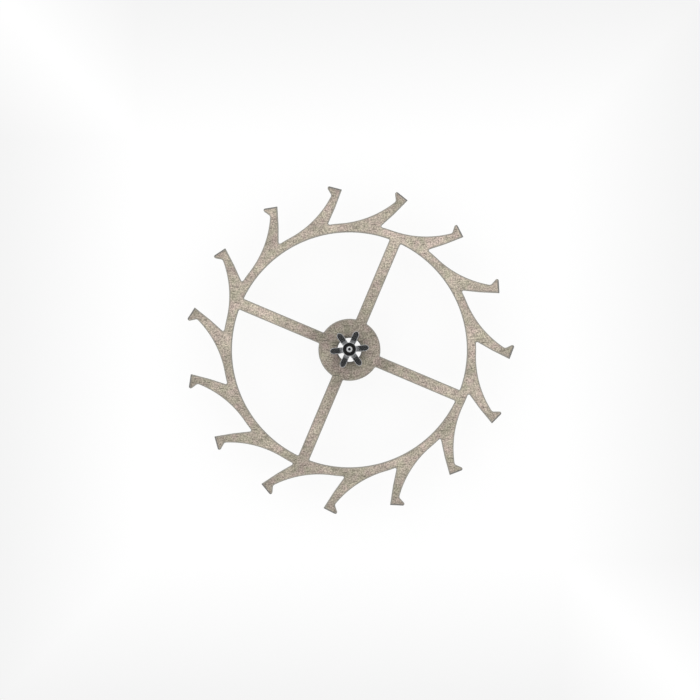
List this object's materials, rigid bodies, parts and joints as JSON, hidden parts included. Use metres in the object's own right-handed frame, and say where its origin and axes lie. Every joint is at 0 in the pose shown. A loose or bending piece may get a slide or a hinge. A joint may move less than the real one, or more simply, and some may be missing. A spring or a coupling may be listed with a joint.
{
  "type": "escape wheel",
  "caption": "Club-tooth lever escape wheel with four arms, riveted to a six-leaf pinion with a pivot at each end of its arbor.",
  "frame": {"origin": "centre of the lower pivot's shoulder, on the arbor's axis", "axes": "+Z along the arbor, from the lower pivot to the pinion's leaves and the upper pivot; +Y is the top of the picture, and seen from +Z the wheel turns clockwise"},
  "size_m": [0.005, 0.005, 0.0022],
  "materials": {
    "lapped_steel": "hardened steel, flat lapped to a fine matt grain",
    "polished_steel": "hardened steel, black polished on the leaves, shoulders and pivots"
  },
  "bodies": {
    "root": {"escape_wheel": "lapped_steel", "escape_pinion": "polished_steel"}
  },
  "joints": []
}
